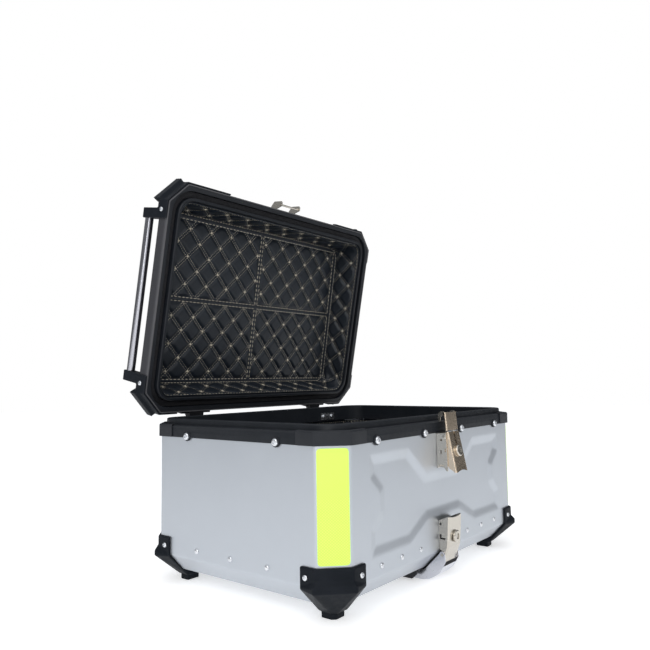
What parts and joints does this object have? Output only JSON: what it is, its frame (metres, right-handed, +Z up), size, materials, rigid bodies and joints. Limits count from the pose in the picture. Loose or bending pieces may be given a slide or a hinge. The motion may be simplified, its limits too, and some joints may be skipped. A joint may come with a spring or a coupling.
{
  "type": "motorcycle top case",
  "caption": "Aluminium motorcycle top case with a hinged lid standing open, plastic corner guards, side rails, a lockable draw latch and a release lever for the carrier.",
  "frame": {"origin": "centre of the case's flat underside, at the outer face of its floor", "axes": "+Z up through the mouth, -Y towards the latch side, +X to the right seen from the rear of the case, with the latch on the viewer's side at -Y"},
  "size_m": [0.528, 0.4437, 0.6001],
  "materials": {
    "aluminium": "brushed satin sheet, anodised",
    "lid_paint": "dark grey powder coat on aluminium sheet",
    "black_plastic": "fine grained moulded nylon",
    "rubber": "matt foam rubber",
    "liner": "quilted leather-look cloth on foam with beige stitching",
    "stainless": "polished stainless",
    "zinc": "bright zinc plate",
    "black_steel": "black e-coat",
    "reflector": "fluorescent yellow-green reflective film"
  },
  "bodies": {
    "case": {"body_shell": "aluminium", "floor_pan": "aluminium", "rim_frame": "black_plastic", "rim_cap_front_left": "black_plastic", "rim_cap_front_right": "black_plastic", "rim_cap_rear_left": "black_plastic", "rim_cap_rear_right": "black_plastic", "corner_guard_front_left": "black_plastic", "corner_guard_front_right": "black_plastic", "corner_guard_rear_left": "black_plastic", "corner_guard_rear_right": "black_plastic", "body_liner": "liner", "latch_base": "stainless", "latch_rivet_left": "stainless", "latch_rivet_right": "stainless", "release_housing": "stainless", "release_lock_barrel": "stainless", "release_pin": "stainless", "hinge_pin_left": "stainless", "hinge_pin_right": "stainless", "rim_screw_01": "zinc", "rim_screw_02": "zinc", "rim_screw_03": "zinc", "rim_screw_04": "zinc", "rim_screw_05": "zinc", "rim_screw_06": "zinc", "rim_screw_07": "zinc", "rim_screw_08": "zinc", "rim_screw_09": "zinc", "rim_screw_10": "zinc", "rim_screw_11": "zinc", "rim_screw_12": "zinc", "hinge_backing_left": "zinc", "hinge_backing_right": "zinc", "release_bracket": "black_steel", "hinge_base_left": "black_steel", "hinge_base_right": "black_steel", "reflector_left": "reflector", "reflector_right": "reflector"},
    "lid": {"lid_shell": "lid_paint", "lid_frame": "black_plastic", "lid_gasket": "rubber", "lid_liner": "liner", "lid_corner_front_left": "black_plastic", "lid_corner_front_right": "black_plastic", "lid_corner_rear_left": "black_plastic", "lid_corner_rear_right": "black_plastic", "rail_left": "stainless", "rail_right": "stainless", "striker_bracket": "stainless", "striker_pin": "stainless", "hinge_leaf_left": "black_steel", "hinge_leaf_right": "black_steel"},
    "latch_lever": {"latch_lever": "stainless", "hook_pin": "stainless", "lever_lock_barrel": "stainless"},
    "latch_hook": {"latch_hook": "stainless"},
    "lever_key": {"lever_lock_plug": "stainless"},
    "release_lever": {"release_lever": "stainless"},
    "release_key": {"release_lock_plug": "stainless"}
  },
  "joints": [
    {"name": "lid_hinge", "type": "hinge", "parent": "case", "child": "lid", "pos_m": [0, 0.1878, 0.2082], "axis": [-1, 0, 0], "range_deg": [-79.2, 10.8]},
    {"name": "latch_lever_pivot", "type": "hinge", "parent": "case", "child": "latch_lever", "pos_m": [0, -0.1865, 0.1835], "axis": [-1, 0, 0], "range_deg": [-5, 85]},
    {"name": "latch_hook_pivot", "type": "hinge", "parent": "latch_lever", "child": "latch_hook", "pos_m": [0, -0.1895, 0.174], "axis": [-1, 0, 0], "range_deg": [-81, 5]},
    {"name": "lever_key_turn", "type": "hinge", "parent": "latch_lever", "child": "lever_key", "pos_m": [0, -0.19869, 0.1645], "axis": [0, -0.9775, 0.2108], "range_deg": [0, 90]},
    {"name": "release_lever_pivot", "type": "hinge", "parent": "case", "child": "release_lever", "pos_m": [0, -0.1795, 0.021], "axis": [-1, 0, 0], "range_deg": [0, 65]},
    {"name": "release_key_turn", "type": "hinge", "parent": "case", "child": "release_key", "pos_m": [0, -0.1901, 0.045], "axis": [0, -1, 0], "range_deg": [0, 90]}
  ],
  "couplings": [
    {"joint": "latch_hook_pivot", "follows": "latch_lever_pivot", "ratio": -0.95}
  ]
}
